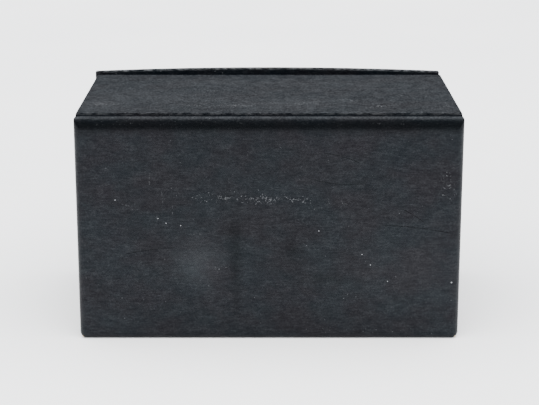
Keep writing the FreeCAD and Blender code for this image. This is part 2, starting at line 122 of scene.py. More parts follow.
class Shader:
    """A material in the making: its shader, its object coordinates and its shorthands."""

    def __init__(self, name: str, roughness: float, ior: float = 1.5, metallic: float = 0.0):
        """Starts a material.

        Args:
            name: the material's name.
            roughness: the shader's roughness where no pattern changes it.
            ior: the index of refraction.
            metallic: 1 for bare metal, 0 for anything else.
        """
        self.material = bpy.data.materials.new(name)
        self.material.use_nodes = True
        self.tree = self.material.node_tree
        self.tree.nodes.clear()
        self.surface = add(
            self.tree,
            "BsdfPrincipled",
            {"Roughness": roughness, "IOR": ior, "Metallic": metallic},
        )
        add(self.tree, "OutputMaterial", {"Surface": self.surface.outputs[0]})
        self.place = add(self.tree, "TexCoord").outputs["Object"]
        self.axes = add(self.tree, "SeparateXYZ", {"Vector": self.place}).outputs
        level = {"Vector": self.place, "Scale": (1.0, 0.0, 1.0)}
        self.flat = add(self.tree, "Mapping", level).outputs[0]
        normal = add(self.tree, "TexCoord").outputs["Normal"]
        self.facing = add(self.tree, "SeparateXYZ", {"Vector": normal}).outputs["Z"]

    def noise(self, size_mm: tuple[float, float, float], detail: float = 3.0) -> Socket:
        """Noise whose grain has the given size in millimetres along X, Y and Z.

        Args:
            size_mm: the grain's size along each axis.
            detail: how many finer layers it has.

        Returns:
            The noise's value socket, from 0 to 1.
        """
        scaled = add(
            self.tree,
            "Mapping",
            {"Vector": self.place, "Scale": tuple(per_metre(size) for size in size_mm)},
        )
        made = add(
            self.tree,
            "TexNoise",
            {"Vector": scaled.outputs[0], "Scale": 1.0, "Detail": detail, "Roughness": 0.55},
        )
        return made.outputs["Fac"]

    def ramp(
        self, value: Socket, low: float, high: float, start: float = 0.0, end: float = 1.0
    ) -> Socket:
        """Carries a value from low..high smoothly to start..end, held at both ends.

        Args:
            value: the value.
            low: where the change begins.
            high: where it ends.
            start: the result at low.
            end: the result at high.

        Returns:
            The result's socket.
        """
        made = add(
            self.tree,
            "MapRange",
            {"Value": value, "From Min": low, "From Max": high, "To Min": start, "To Max": end},
            interpolation_type="SMOOTHSTEP",
        )
        return made.outputs["Result"]

    def math(self, operation: str, *values: Value) -> Socket:
        """Does arithmetic.

        Args:
            operation: the Math node's operation.
            values: what it works on, in order.

        Returns:
            The result's socket.
        """
        inputs = dict(enumerate(values))
        return add(self.tree, "Math", inputs, operation=operation).outputs[0]

    def most(self, masks: list[Socket]) -> Socket:
        """Takes the largest of several values.

        Args:
            masks: the values.

        Returns:
            The largest one's socket.
        """
        largest = masks[0]
        for mask in masks[1:]:
            largest = self.math("MAXIMUM", largest, mask)
        return largest

    def blend(self, share: Value, first: Socket | tuple, second: Socket | tuple) -> Socket:
        """Mixes two colours.

        Args:
            share: how much of the second colour there is, from 0 to 1.
            first: the first colour, a socket or a linear colour.
            second: the second colour, likewise.

        Returns:
            The mixed colour's socket.
        """
        made = add(
            self.tree, "Mix", {"Factor": share, "A": first, "B": second}, data_type="RGBA"
        )
        for key, value in (("A", first), ("B", second)):
            wanted = next(s for s in made.inputs if s.name == key and s.type == "RGBA")
            if isinstance(value, bpy.types.NodeSocket):
                self.tree.links.new(value, wanted)
            else:
                wanted.default_value = value
        return next(s for s in made.outputs if s.type == "RGBA")

    def attribute(self, name: str) -> Socket:
        """Reads a number that a piece's mesh carries.

        Args:
            name: the number's name.

        Returns:
            Its socket, which gives 0 on a mesh without it.
        """
        return add(self.tree, "Attribute", attribute_name=name).outputs["Fac"]

    def set(self, **sockets: Value) -> None:
        """Sets or links the shader's inputs.

        Args:
            sockets: each input's value or socket, its name with underscores for spaces.
        """
        for name, value in sockets.items():
            target = self.surface.inputs[name.replace("_", " ")]
            if isinstance(value, bpy.types.NodeSocket):
                self.tree.links.new(value, target)
            else:
                target.default_value = value

    def bump(self, height: Socket, depth_mm: float) -> None:
        """Raises the surface by a pattern.

        Args:
            height: the pattern, from 0 to 1.
            depth_mm: how high it rises, in millimetres.
        """
        made = add(
            self.tree, "Bump", {"Height": height, "Distance": depth_mm * MM, "Strength": 1.0}
        )
        self.tree.links.new(made.outputs[0], self.surface.inputs["Normal"])


@dataclass(frozen=True)
class Scratch:
    """One thin line in the spine's cloth, in millimetres: a shallow arc from one end to the other.

    A dark scratch has cut the coating; a pale one has only chafed it.
    """

    start: tuple[float, float]
    end: tuple[float, float]
    sag: float = 0.0
    width: float = 0.5
    pale: bool = False


@dataclass(frozen=True)
class Pin:
    """One tiny spot where the spine's coating is chipped to the thread, in millimetres."""

    x: float
    z: float
    radius: float = 0.6


@dataclass(frozen=True)
class Weave:
    """The patterns that the book cloth's colour, wear and shine share, as sockets from 0 to 1."""

    thread: Socket
    grain: Socket
    mottle: Socket
    patches: Socket


@dataclass(frozen=True)
class BookCloth:
    """Black acrylic-coated book cloth, calendered in the mill.

    The coating gives it a low, even gloss over a blue-black ground, and the flattened threads
    give it a fine grain that runs along the box. Handling leaves pale specks where the coating
    has broken, paler rubbed edges and a few thin scratches. The pale edges are partly a painted
    highlight, and two bands of painted shade darken the spine under its head and along its foot.
    """

    cool: str = "05080c"
    warm: str = "08080b"
    # Pale grey of worn coating; on thinned edges it also paints a highlight.
    worn: str = "9a9c9f"
    dust: str = "4a4d50"
    # Near-black for cut coating, also used for grime and for painted shade.
    cut_and_shade: str = "040506"
    cool_gloss: str = "eaf2f8"
    warm_gloss: str = "f1eff7"
    coat: float = 0.245
    fleck_level: float = 0.72
    roughness: float = 0.42
    thread_mm: float = 1.1  # real threads are 0.5 mm apart, too fine to show at this distance
    scratches: tuple[Scratch, ...] = (
        Scratch((43.43, 158), (74.74, 149), 1.5),
        Scratch((32.32, 137), (78.78, 133), -2.5),
        Scratch((91.91, 98), (152.51, 90), 1.5),
        Scratch((107.06, 112), (126.25, 100), 0.5),
        Scratch((-119.18, 73), (-74.74, 79), 1.0),
        Scratch((-119.18, 115.5), (-112.11, 114), 0.0, 0.5, True),
        Scratch((-95.95, 142), (-96.455, 131), 0.0, 0.4, True),
        Scratch((-86.86, 127), (-85.85, 116), 0.0, 0.4, True),
        Scratch((-77.77, 115), (-78.275, 106), 0.0, 0.4, True),
        Scratch((-90.9, 107), (-90.395, 101), 0.0, 0.4, True),
    )
    pins: tuple[Pin, ...] = (
        Pin(-124.2, 119), Pin(40.4, 93), Pin(75.8, 73), Pin(82.8, 64), Pin(97, 50),
        Pin(149.5, 49, 0.9), Pin(-89.9, 103.5), Pin(-83.4, 99.5), Pin(-71.7, 97.5),
    )

    def line(self, shader: Shader, scratch: Scratch) -> Socket:
        """Masks one scratch: near its arc, and between its ends.

        The place along it is (point - start) . direction / length, and the distance from it is
        (point - start) . across, less the arc's bow of 4 sag t (1 - t).

        Args:
            shader: the shader to add to.
            scratch: the scratch.

        Returns:
            A socket that is 1 on the scratch and 0 away from it.
        """
        start, end = np.array(scratch.start) * MM, np.array(scratch.end) * MM
        length = float(np.hypot(*(end - start)))
        way = (end - start) / length
        side = np.array([-way[1], way[0]])
        along, off = (
            shader.math(
                "SUBTRACT",
                add(
                    shader.tree,
                    "VectorMath",
                    {0: shader.place, 1: (float(axis[0]), 0.0, float(axis[1]))},
                    operation="DOT_PRODUCT",
                ).outputs["Value"],
                float(start @ axis),
            )
            for axis in (way / length, side)
        )
        rest = shader.math("SUBTRACT", 1.0, along)
        bow = shader.math("MULTIPLY", shader.math("MULTIPLY", along, rest), 4 * scratch.sag * MM)
        off = shader.math("ABSOLUTE", shader.math("SUBTRACT", off, bow))
        across = shader.ramp(off, 0.0, scratch.width * MM, 1.0, 0.0)
        inside = shader.math("MULTIPLY", shader.ramp(along, 0.0, 0.1), shader.ramp(rest, 0.0, 0.1))
        return shader.math("MULTIPLY", across, inside)

    def lines(self, shader: Shader, pale: bool, front: Socket) -> Socket:
        """Masks all the spine's scratches of one kind.

        Args:
            shader: the shader to add to.
            pale: True for the chafed ones, False for the cut ones.
            front: a socket that is 1 on the spine's front.

        Returns:
            A socket that is 1 on the scratches and 0 elsewhere.
        """
        masks = [self.line(shader, scratch) for scratch in self.scratches if scratch.pale is pale]
        return shader.math("MULTIPLY", shader.most(masks), front)

    def chips(self, shader: Shader, front: Socket) -> Socket:
        """Masks the spine's chipped spots.

        Args:
            shader: the shader to add to.
            front: a socket that is 1 on the spine's front.

        Returns:
            A socket that is 1 on the spots and 0 elsewhere.
        """
        masks = []
        for pin in self.pins:
            away = add(
                shader.tree,
                "VectorMath",
                {0: shader.flat, 1: (pin.x * MM, 0.0, pin.z * MM)},
                operation="DISTANCE",
            ).outputs["Value"]
            masks.append(shader.ramp(away, 0.3 * pin.radius * MM, pin.radius * MM, 1.0, 0.0))
        return shader.math("MULTIPLY", shader.most(masks), front)

    def specks(self, shader: Shader, size_mm: float, share: Socket) -> Socket:
        """Masks specks: of cells of a given size, the share that chance picks has a broken spot.

        Args:
            shader: the shader to add to.
            size_mm: the cells' size.
            share: the share of cells that are broken, from 0 to 1, as a socket.

        Returns:
            A socket that is 1 on a speck and 0 elsewhere.
        """
        cells = add(
            shader.tree,
            "TexVoronoi",
            {"Vector": shader.place, "Scale": per_metre(size_mm), "Randomness": 1.0},
        )
        picks = add(shader.tree, "SeparateColor", {"Color": cells.outputs["Color"]}).outputs
        chosen = shader.math("LESS_THAN", picks["Red"], share)
        reach = shader.math("MULTIPLY_ADD", picks["Green"], 0.22, 0.14)
        dot = shader.math("SUBTRACT", reach, cells.outputs["Distance"])
        dot = shader.ramp(dot, 0.0, 0.14)
        strength = shader.math("MULTIPLY_ADD", picks["Blue"], 0.7, 0.3)
        return shader.math("MULTIPLY", shader.math("MULTIPLY", chosen, dot), strength)

    def dusted(self, shader: Shader, weave: Weave) -> Socket:
        """Lays soft dust in the grain over the ground, and more on the sides that face up.

        Args:
            shader: the shader to add to.
            weave: the cloth's patterns.

        Returns:
            The dusty cloth's colour.
        """
        grain, thread = weave.grain, weave.thread
        haze = shader.math("MULTIPLY", shader.ramp(thread, 0.35, 0.75), 0.03)
        haze = shader.math("MULTIPLY_ADD", shader.ramp(grain, 0.45, 0.75), 0.05, haze)
        haze = shader.math("MULTIPLY", haze, shader.ramp(weave.mottle, 0.3, 0.7, 0.3, 1.4))
        haze = shader.math("MULTIPLY_ADD", shader.attribute("bloom"), 0.16, haze)
        drift = shader.math("MULTIPLY", shader.ramp(weave.mottle, 0.30, 0.70), 0.06)
        drift = shader.math("MULTIPLY_ADD", shader.ramp(grain, 0.40, 0.72), 0.18, drift)
        drift = shader.math("MULTIPLY_ADD", shader.ramp(thread, 0.40, 0.72), 0.03, drift)
        dashes = shader.ramp(shader.noise((20.0, 4.5, 4.5), 4.0), 0.60, 0.74)
        drift = shader.math("MULTIPLY_ADD", dashes, 0.08, drift)
        haze = shader.math("MULTIPLY_ADD", shader.ramp(shader.facing, 0.75, 0.98), drift, haze)
        ground = shader.blend(weave.patches, linear(self.cool), linear(self.warm))
        return shader.blend(haze, ground, linear(self.dust))

    def wear(self, shader: Shader, weave: Weave, front: Socket) -> Socket:
        """Wears the coating: flecks and specks, rubbed edges, chips and chafed lines.

        Flecks and specks gather in clusters where it is scuffed, and along its rubbed edges. Where
        an edge is thinned, the coating wears to a soft grey, more on the threads; this pale grey is
        also a painted highlight on the lit edges, most on the flap's top edge.

        Args:
            shader: the shader to add to.
            weave: the cloth's patterns.
            front: a socket that is 1 on the spine's front.

        Returns:
            How worn the coating is, from 0 to 1.
        """
        scuff = shader.attribute("scuff")
        rub = shader.math(
            "MULTIPLY", shader.attribute("rub"), shader.ramp(shader.facing, 0.1, 0.5)
        )
        cluster = shader.ramp(shader.noise((10.0, 10.0, 6.0), 3.0), 0.34, 0.56)
        broken = shader.noise((1.5, 1.5, 1.2), 3.0)
        needed = shader.math(
            "MULTIPLY_ADD", shader.math("MULTIPLY", scuff, cluster), -0.21, self.fleck_level
        )
        needed = shader.math("MULTIPLY_ADD", rub, -0.09, needed)
        flecks = shader.ramp(shader.math("SUBTRACT", broken, needed), 0.0, 0.07)
        share = shader.math("MULTIPLY", scuff, shader.math("MULTIPLY", cluster, 0.16))
        share = shader.math("MULTIPLY_ADD", rub, 0.03, shader.math("ADD", share, 0.004))
        specks = self.specks(shader, 1.7, share)
        worn_through = shader.ramp(shader.noise((5.0, 2.0, 2.0), 4.0), 0.38, 0.68)
        # Paled thinned edges: wear, and a painted highlight where an edge is lit.
        rubbed_and_lit = shader.math("MULTIPLY", shader.attribute("thin_and_lit"), worn_through)
        chafed = shader.math(
            "MULTIPLY", self.lines(shader, True, front), shader.ramp(weave.grain, 0.40, 0.62)
        )
        strengths = (
            (flecks, 0.15), (specks, 0.26), (rubbed_and_lit, 0.06), (self.chips(shader, front), 0.6),
            (chafed, 0.08),
        )
        return shader.most(
            [shader.math("MULTIPLY", mask, strength) for mask, strength in strengths]
        )

    def coating(self, shader: Shader, weave: Weave, dark: Socket) -> Socket:
        """Varies the coating's shine: thick in some places, and thin on the threads' crowns.

        Args:
            shader: the shader to add to.
            weave: the cloth's patterns.
            dark: how much cut lines, grime and painted shade darken it, from 0 to 1.

        Returns:
            The strength of the coating's reflection.
        """
        coat = shader.ramp(weave.mottle, 0.3, 0.7, self.coat - 0.015, self.coat + 0.02)
        varied = ((weave.patches, -0.02), (weave.thread, 0.22), (weave.grain, 0.22))
        for pattern, strength in varied:
            offset = shader.math("SUBTRACT", pattern, 0.5)
            coat = shader.math("MULTIPLY_ADD", offset, strength, coat)
        coat = shader.math("MULTIPLY_ADD", shader.attribute("bloom"), 0.10, coat)
        # Cut lines, grime and painted shade also weaken the reflection.
        kept = shader.math("MULTIPLY_ADD", dark, -0.45, 1.0)
        return shader.math("MULTIPLY", coat, kept)

    def make(self) -> bpy.types.Material:
        """Makes the material.

        Returns:
            The material, which reads the mesh's rub, thin_and_lit, scuff, bloom and grime_and_shade
            numbers; thin_and_lit also carries painted highlight, and grime_and_shade also carries
            painted shade.
        """
        shader = Shader("black_book_cloth", self.roughness, ior=1.38)
        front = shader.ramp(shader.axes["Y"], -0.085, -0.090)
        weave = Weave(
            thread=shader.noise((6.0, 2.4, self.thread_mm), 3.0),
            grain=shader.noise((1.4, 1.8, 1.1), 2.0),
            mottle=shader.noise((9.0, 9.0, 6.0), 4.0),
            patches=shader.ramp(shader.noise((34.0, 34.0, 24.0), 3.0), 0.30, 0.70),
        )
        wear = self.wear(shader, weave, front)
        lines = self.lines(shader, False, front)
        # Darkening: cut scratches, grime, and two full-width bands of painted shade on the spine.
        dark = shader.most([shader.math("MULTIPLY", lines, 0.8), shader.attribute("grime_and_shade")])
        # Worn grey: wear, with a painted highlight on the thinned edges.
        colour = shader.blend(wear, self.dusted(shader, weave), linear(self.worn))
        # Blends towards near-black for cuts, grime and painted shade.
        colour = shader.blend(dark, colour, linear(self.cut_and_shade))
        gloss = shader.ramp(shader.noise((30.0, 30.0, 30.0), 3.0), 0.3, 0.7, -0.03, 0.03)
        rough = shader.math("ADD", self.roughness, gloss)
        shader.set(
            Base_Color=colour,
            Roughness=shader.math("MULTIPLY_ADD", wear, 0.3, rough),
            Specular_IOR_Level=self.coating(shader, weave, dark),
            Specular_Tint=shader.blend(
                weave.patches, linear(self.cool_gloss), linear(self.warm_gloss)
            ),
        )
        cross = shader.noise((self.thread_mm, 4.0, self.thread_mm), 2.0)
        relief = shader.math("MULTIPLY", cross, 0.45)
        relief = shader.math("MULTIPLY_ADD", weave.thread, 0.55, relief)
        relief = shader.math("SUBTRACT", relief, shader.math("MULTIPLY", lines, 0.8))
        shader.bump(relief, 0.09)
        return shader.material


@dataclass(frozen=True)
class LiningPaper:
    """Acid-free laid paper, made on a mould: matte, warm white, with fine laid lines and fibres."""

    white: str = "cfc8b6"
    shade: str = "bcb39d"
    fibre: str = "9d927a"

    def make(self) -> bpy.types.Material:
        """Makes the material.

        Returns:
            The material.
        """
        shader = Shader("laid_lining_paper", 0.85)
        cloud = shader.ramp(shader.noise((40.0, 40.0, 40.0), 5.0), 0.35, 0.65)
        laid = shader.noise((30.0, 1.2, 1.2), 3.0)
        fibre = shader.ramp(shader.noise((3.0, 0.7, 3.0), 4.0), 0.62, 0.75)
        colour = shader.blend(cloud, linear(self.white), linear(self.shade))
        colour = shader.blend(shader.math("MULTIPLY", fibre, 0.35), colour, linear(self.fibre))
        shader.set(Base_Color=colour)
        shader.bump(laid, 0.05)
        return shader.material


@dataclass(frozen=True)
class BindersBoard:
    """Grey binder's board, pressed from pulp: matte and mottled with fibres."""

    light: str = "8c877c"
    dark: str = "6b675e"

    def make(self) -> bpy.types.Material:
        """Makes the material.

        Returns:
            The material.
        """
        shader = Shader("pressed_binders_board", 0.9)
        mottle = shader.ramp(shader.noise((4.0, 4.0, 4.0), 5.0), 0.35, 0.65)
        colour = shader.blend(mottle, linear(self.light), linear(self.dark))
        shader.set(Base_Color=colour)
        shader.bump(shader.noise((0.8, 0.8, 0.8), 3.0), 0.05)
        return shader.material


@dataclass(frozen=True)
class Poplar:
    """Planed poplar: pale wood with a faint grain along its length."""

    early: str = "c9b68f"
    late: str = "a98f63"

    def make(self) -> bpy.types.Material:
        """Makes the material.

        Returns:
            The material.
        """
        shader = Shader("planed_poplar", 0.65)
        grain = shader.ramp(shader.noise((120.0, 2.5, 2.5), 5.0), 0.4, 0.62)
        shader.set(Base_Color=shader.blend(grain, linear(self.early), linear(self.late)))
        shader.bump(grain, 0.04)
        return shader.material


@dataclass(frozen=True)
class PlatedSteel:
    """Pressed sheet steel with satin nickel plate: fine rolled lines and dulled corners."""

    name: str = "satin_nickel_plate"
    bright: str = "726d65"
    dull: str = "69645c"
    roughness: float = 0.3

    def make(self) -> bpy.types.Material:
        """Makes the material.

        Returns:
            The material.
        """
        shader = Shader(self.name, self.roughness, metallic=1.0)
        rolled = shader.noise((12.0, 0.5, 0.5), 3.0)
        tarnish = shader.ramp(shader.noise((9.0, 9.0, 9.0), 4.0), 0.42, 0.68)
        shader.set(
            Base_Color=shader.blend(tarnish, linear(self.bright), linear(self.dull)),
            Roughness=shader.math("MULTIPLY_ADD", tarnish, 0.18, self.roughness),
        )
        shader.bump(rolled, 0.01)
        return shader.material


@dataclass(frozen=True)
class CardStock:
    """Uncoated index card: matte and a little yellowed, printed with thin ruled lines."""

    stock: str = "d6ccb4"
    aged: str = "c4b797"
    rule: str = "6f8299"
    top_rule: str = "a0594e"
    pitch_mm: float = 7.0

    def make(self) -> bpy.types.Material:
        """Makes the material, with a heading rule under the card's upper edge.

        Returns:
            The material.
        """
        low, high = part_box("label_card")
        shader = Shader("ruled_card_stock", 0.8)
        mottle = shader.ramp(shader.noise((14.0, 14.0, 14.0), 5.0), 0.4, 0.6)
        colour = shader.blend(mottle, linear(self.stock), linear(self.aged))
        depth = shader.math("SUBTRACT", high.z - 12 * MM, shader.axes["Z"])
        step = shader.math("PINGPONG", depth, self.pitch_mm / 2 * MM)
        rule = shader.ramp(step, 0.10 * MM, 0.35 * MM, 1.0, 0.0)
        below = shader.math("GREATER_THAN", depth, self.pitch_mm / 2 * MM)
        colour = shader.blend(shader.math("MULTIPLY", rule, below), colour, linear(self.rule))
        heading = shader.ramp(shader.math("ABSOLUTE", depth), 0.15 * MM, 0.5 * MM, 1.0, 0.0)
        colour = shader.blend(heading, colour, linear(self.top_rule))
        shader.set(Base_Color=colour)
        shader.bump(mottle, 0.02)
        return shader.material


@dataclass(frozen=True)
class Leather:
    """Black goatskin, vegetable-tanned: a pebbled grain with a soft shine on its high spots."""

    high: str = "2a2725"
    low: str = "131110"

    def make(self) -> bpy.types.Material:
        """Makes the material.

        Returns:
            The material.
        """
        shader = Shader("black_goatskin", 0.45)
        pebble = add(
            shader.tree,
            "TexVoronoi",
            {"Vector": shader.place, "Scale": per_metre(1.1)},
            feature="SMOOTH_F1",
        ).outputs["Distance"]
        shader.set(
            Base_Color=shader.blend(
                shader.ramp(pebble, 0.1, 0.6), linear(self.high), linear(self.low)
            ),
            Roughness=shader.ramp(pebble, 0.0, 0.7, 0.38, 0.6),
        )
        shader.bump(shader.math("SUBTRACT", 1.0, pebble), 0.12)
        return shader.material


# ---------------------------------------------------------------------------------- surfaces
class Lie(Enum):
    """How a covered board lies: the axes its outline runs across and up, and its thickness."""

    UPRIGHT = (0, 2, 1)
    LEVEL = (0, 1, 2)


@dataclass(frozen=True)
class Edges:
    """Radii of a board's rounded edges on one face: its low edge, its two sides, its high edge."""

    low: float
    side: float
    high: float

    def array(self) -> np.ndarray:
        """Gives the radii as an array.

        Returns:
            The low edge's radius, the sides' and the high edge's.
        """
        return np.array([self.low, self.side, self.high])


@dataclass(frozen=True)
class Mark:
    """A soft spot of wear, in millimetres: an ellipse that fades out from its centre.

    It lies at x along the board and at z up it, or at z across it on a level board.
    """

    x: float
    z: float
    across: float
    up: float
    strength: float = 1.0


def rounded_loop(
    spans: np.ndarray, radii: np.ndarray, across: int, up: int, turn: int
) -> tuple[np.ndarray, np.ndarray]:
    """Points round rectangles with rounded corners, one rectangle for each ring.

    Each loop runs along the low edge, up the right side, back along the high edge and down the
    left side, with a quarter circle at each corner.

    Args:
        spans: ring by left, right, low and high.
        radii: ring by radius of the low corners and of the high corners.
        across: points on each straight of the low and high edges.
        up: points on each straight side.
        turn: points on each corner.

    Returns:
        Points, as ring by point by across and up; and weights, as point by how much the point
        belongs to the low edge, to a side and to the high edge.
    """
    left, right, low, high = (spans[:, index, None] for index in range(4))
    soft, firm = radii[:, 0, None], radii[:, 1, None]
    corners = (
        (right - soft, low + soft, soft, -math.pi / 2),
        (right - firm, high - firm, firm, 0.0),
        (left + firm, high - firm, firm, math.pi / 2),
        (left + soft, low + soft, soft, math.pi),
    )
    kinds = np.eye(3)[[0, 1, 2, 1]]
    parts, weights = [], []
    for index, (x, z, radius, angle) in enumerate(corners):
        previous = corners[index - 1]
        start = np.stack(
            [
                previous[0] + previous[2] * math.cos(previous[3] + math.pi / 2),
                previous[1] + previous[2] * math.sin(previous[3] + math.pi / 2),
            ],
            axis=-1,
        )
        end = np.stack([x + radius * math.cos(angle), z + radius * math.sin(angle)], axis=-1)
        share = np.linspace(0, 1, up if index % 2 else across, endpoint=False)[None, :, None]
        parts.append(start + (end - start) * share)
        weights.append(np.repeat(kinds[None, index], share.size, axis=0))
        swing = np.linspace(0, 1, turn, endpoint=False)
        bend = angle + swing * math.pi / 2
        parts.append(np.stack([x + radius * np.cos(bend), z + radius * np.sin(bend)], axis=-1))
        ease = (swing * swing * (3 - 2 * swing))[:, None]
        weights.append(kinds[index] * (1 - ease) + kinds[(index + 1) % 4] * ease)
    return np.concatenate(parts, axis=1), np.concatenate(weights)


def ring_faces(rings: int, points: int, closed: bool) -> np.ndarray:
    """Quads between rings of points, each ring closed on itself.

    Args:
        rings: how many rings there are.
        points: points in each ring.
        closed: True if the last ring joins the first.

    Returns:
        Quad by four vertex numbers.
    """
    ring = np.arange(rings if closed else rings - 1)[:, None]
    point = np.arange(points)[None, :]
    after, beside = (ring + 1) % rings, (point + 1) % points
    quads = [ring * points + point, ring * points + beside,
             after * points + beside, after * points + point]
    return np.stack(np.broadcast_arrays(*quads), axis=-1).reshape(-1, 4)


def cap_faces(first: int, points: int, centre: int) -> np.ndarray:
    """Triangles from a ring of points to a vertex at its centre.

    Args:
        first: the number of the ring's first point.
        points: points in the ring.
        centre: the number of the vertex at the centre.

    Returns:
        Triangle by three vertex numbers.
    """
    point = np.arange(points)
    return np.stack([first + point, first + (point + 1) % points, np.full(points, centre)], axis=-1)


@dataclass
class Mesh:
    """Vertices, faces and named numbers that become one piece."""

    name: str
    vertices: np.ndarray
    quads: np.ndarray
    triangles: np.ndarray = field(default_factory=lambda: np.zeros((0, 3), int))
    numbers: dict[str, np.ndarray] = field(default_factory=dict)

    def piece(self, material: bpy.types.Material, body: str, stands_for: str) -> bpy.types.Object:
        """Makes the piece, with its faces outwards, and puts it on its body.

        Args:
            material: the piece's finish.
            body: the CAD body it rides on.
            stands_for: the CAD node it replaces.

        Returns:
            The piece's object.
        """
        mesh = bpy.data.meshes.new(self.name)
        faces = self.quads.tolist() + self.triangles.tolist()
        mesh.from_pydata(self.vertices.tolist(), [], faces)
        for name, values in self.numbers.items():
            layer = mesh.attributes.new(name, "FLOAT", "POINT")
            layer.data.foreach_set("value", np.asarray(values, np.float32).ravel())
        outward = bmesh.new()
        outward.from_mesh(mesh)
        bmesh.ops.recalc_face_normals(outward, faces=outward.faces)
        outward.to_mesh(mesh)
        outward.free()
        mesh.shade_smooth()
        mesh.materials.append(material)
        made = bpy.data.objects.new(self.name, mesh)
        bpy.context.scene.collection.objects.link(made)
        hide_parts(stands_for)
        if body:
            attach(made, body)
        LOG.info("%s: %d faces, for %s", self.name, len(faces), stands_for)
        return made


@dataclass
class CoveredBoard:
    """A board with cloth glued round it: a closed slab with softly rounded edges.

    The surface is a stack of rounded rectangles. On a face they shrink to its middle. On an edge
    of radius R, at an angle a from the edge's side, a rectangle lies R (1 - cos a) inside the
    outline and R (1 - sin a) from the face, so the edge is a quarter circle. The rectangle's
    corners tighten by as much as it lies inside. A lined board's near face is sunk inside its
    turned-in cloth, by a little less than the lining is thick, so that the lining lies flush.
    A backing carries the far face just past the board, so that cloth covers the board's back.
    """

    name: str
    node: str
    body: str
    lie: Lie
    near: Edges
    far: Edges
    corners: tuple[float, float]
    crown: float = 0.0
    face_rings: int = 24
    thinned_and_lit: float = 1.0
    lined: bool = False
    turn_in: float = 11.9 * MM
    sunk: float = 0.5 * MM
    backing: float = 0.0
    marks: dict[str, tuple[Mark, ...]] = field(default_factory=dict)

    def outline(self, swing: np.ndarray, edges: Edges) -> tuple[np.ndarray, np.ndarray]:
        """How far each ring of an edge lies inside the outline and from the face.

        Args:
            swing: the angle at each ring, from the board's side towards its face.
            edges: the radii of the face's edges.

        Returns:
            Inset and depth, each ring by low edge, side and high edge.
        """
        radius = edges.array()[None, :]
        return radius * (1 - np.cos(swing))[:, None], radius * (1 - np.sin(swing))[:, None]

    def face(self, edges: Edges, lined: bool) -> tuple[np.ndarray, np.ndarray, np.ndarray]:
        """The rings of a face, from its middle out to its rounded edge.

        Args:
            edges: the radii of the face's edges.
            lined: whether the face is sunk inside its turned-in cloth.

        Returns:
            Inset and depth, each ring by low edge, side and high edge; and how far each ring has
            shrunk towards the middle.
        """
        share = (np.arange(self.face_rings) + 0.5) / self.face_rings
        if not lined:
            flat = np.ones((self.face_rings, 3))
            return flat * edges.array(), flat * 0, share
        # The sunk middle, its small wall, then the band of turned-in cloth out to the edge.
        out = np.linspace(0, 1, 7)[:, None]
        wall = self.turn_in - np.array([[0.0], [0.08], [0.4]]) * MM * np.ones(3)
        band = wall[-1] + (edges.array() - wall[-1]) * out
        insets = np.concatenate([np.full((self.face_rings, 3), self.turn_in), wall, band[1:-1]])
        depths = np.zeros_like(insets)
        depths[: self.face_rings + 1] = self.sunk
        return insets, depths, np.concatenate([share, np.ones(len(insets) - len(share))])

    def mesh(self) -> Mesh:
        """Works out the slab's surface.

        Returns:
            The mesh, with rub on its rounded edges and the board's own marks of wear.
        """
        low, high = (np.array(corner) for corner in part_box(self.node))
        across, up, through = self.lie.value
        rise = high[up] - low[up] - self.crown
        thick = high[through] - low[through] + self.backing
        swing = np.linspace(0, math.pi / 2, 9)
        near_inset, near_depth = self.outline(swing[::-1], self.near)
        far_inset, far_depth = self.outline(swing, self.far)
        near_face, near_sunk, near_shrink = self.face(self.near, self.lined)
        far_face, _, far_shrink = self.face(self.far, False)
        insets = np.concatenate([near_face, near_inset, far_inset, far_face[::-1]])
        depths = np.concatenate([near_sunk, near_depth, thick - far_depth, far_face * 0 + thick])
        shrink = np.concatenate([near_shrink, np.ones(2 * swing.size), far_shrink[::-1]])
        spans = np.stack(
            [low[across] + insets[:, 1], high[across] - insets[:, 1],
             low[up] + insets[:, 0], low[up] + rise - insets[:, 2]],
            axis=-1,
        )
        middle = np.array([low[across] + high[across]] * 2 + [2 * low[up] + rise] * 2) / 2
        spans = middle + (spans - middle) * shrink[:, None]
        inner = np.stack([insets[:, 0] + insets[:, 1], insets[:, 2] + insets[:, 1]], -1) / 2
        least = np.where(inner > 6 * MM, 0.1, 0.8) * MM
        radii = np.maximum(np.array(self.corners) - inner, least) * shrink[:, None]
        loops, weights = rounded_loop(spans, radii, 150, 90, 8)
        depth = low[through] + depths @ weights.T
        rings, points = depth.shape
        # The crowned edge is an arc, and only the cloth close below it rises with it.
        half = (high[across] - low[across]) / 2
        offset = (loops[..., 0] - middle[0]) / half
        height = np.clip(((loops[..., 1] - low[up]) / rise - 0.94) / 0.06, 0, 1)
        vertices = np.zeros((rings, points, 3))
        vertices[..., across] = loops[..., 0]
        vertices[..., up] = loops[..., 1] + self.crown * (1 - offset ** 2) * height
        vertices[..., through] = depth
        vertices = vertices.reshape(-1, 3)
        caps = [vertices[:points].mean(axis=0), vertices[-points:].mean(axis=0)]
        vertices = np.concatenate([vertices, caps])
        quads = ring_faces(rings, points, closed=False)
        first, last = cap_faces(0, points, rings * points), cap_faces(
            (rings - 1) * points, points, rings * points + 1
        )
        radius = np.repeat(
            [self.near.high, self.far.high],
            [len(near_face) + swing.size, len(far_face) + swing.size],
        )
        # How far each vertex has turned over an edge: 0 on the board's side, 1 on a face.
        turned = np.clip(insets[:, 2] / radius, 0, 1)
        turned = np.concatenate([np.repeat(turned, points), [1.0, 1.0]])
        numbers = {
            "rub": np.clip(4 * turned * (1 - turned), 0, 1),
            # Edge paling: wear, and where it is raised also a painted highlight.
            "thin_and_lit": self.thinned_and_lit * (1 - turned),
        }
        for name, marks in self.marks.items():
            numbers[name] = self.spread(vertices, marks)
        return Mesh(self.name, vertices, quads, np.concatenate([first[:, ::-1], last]), numbers)

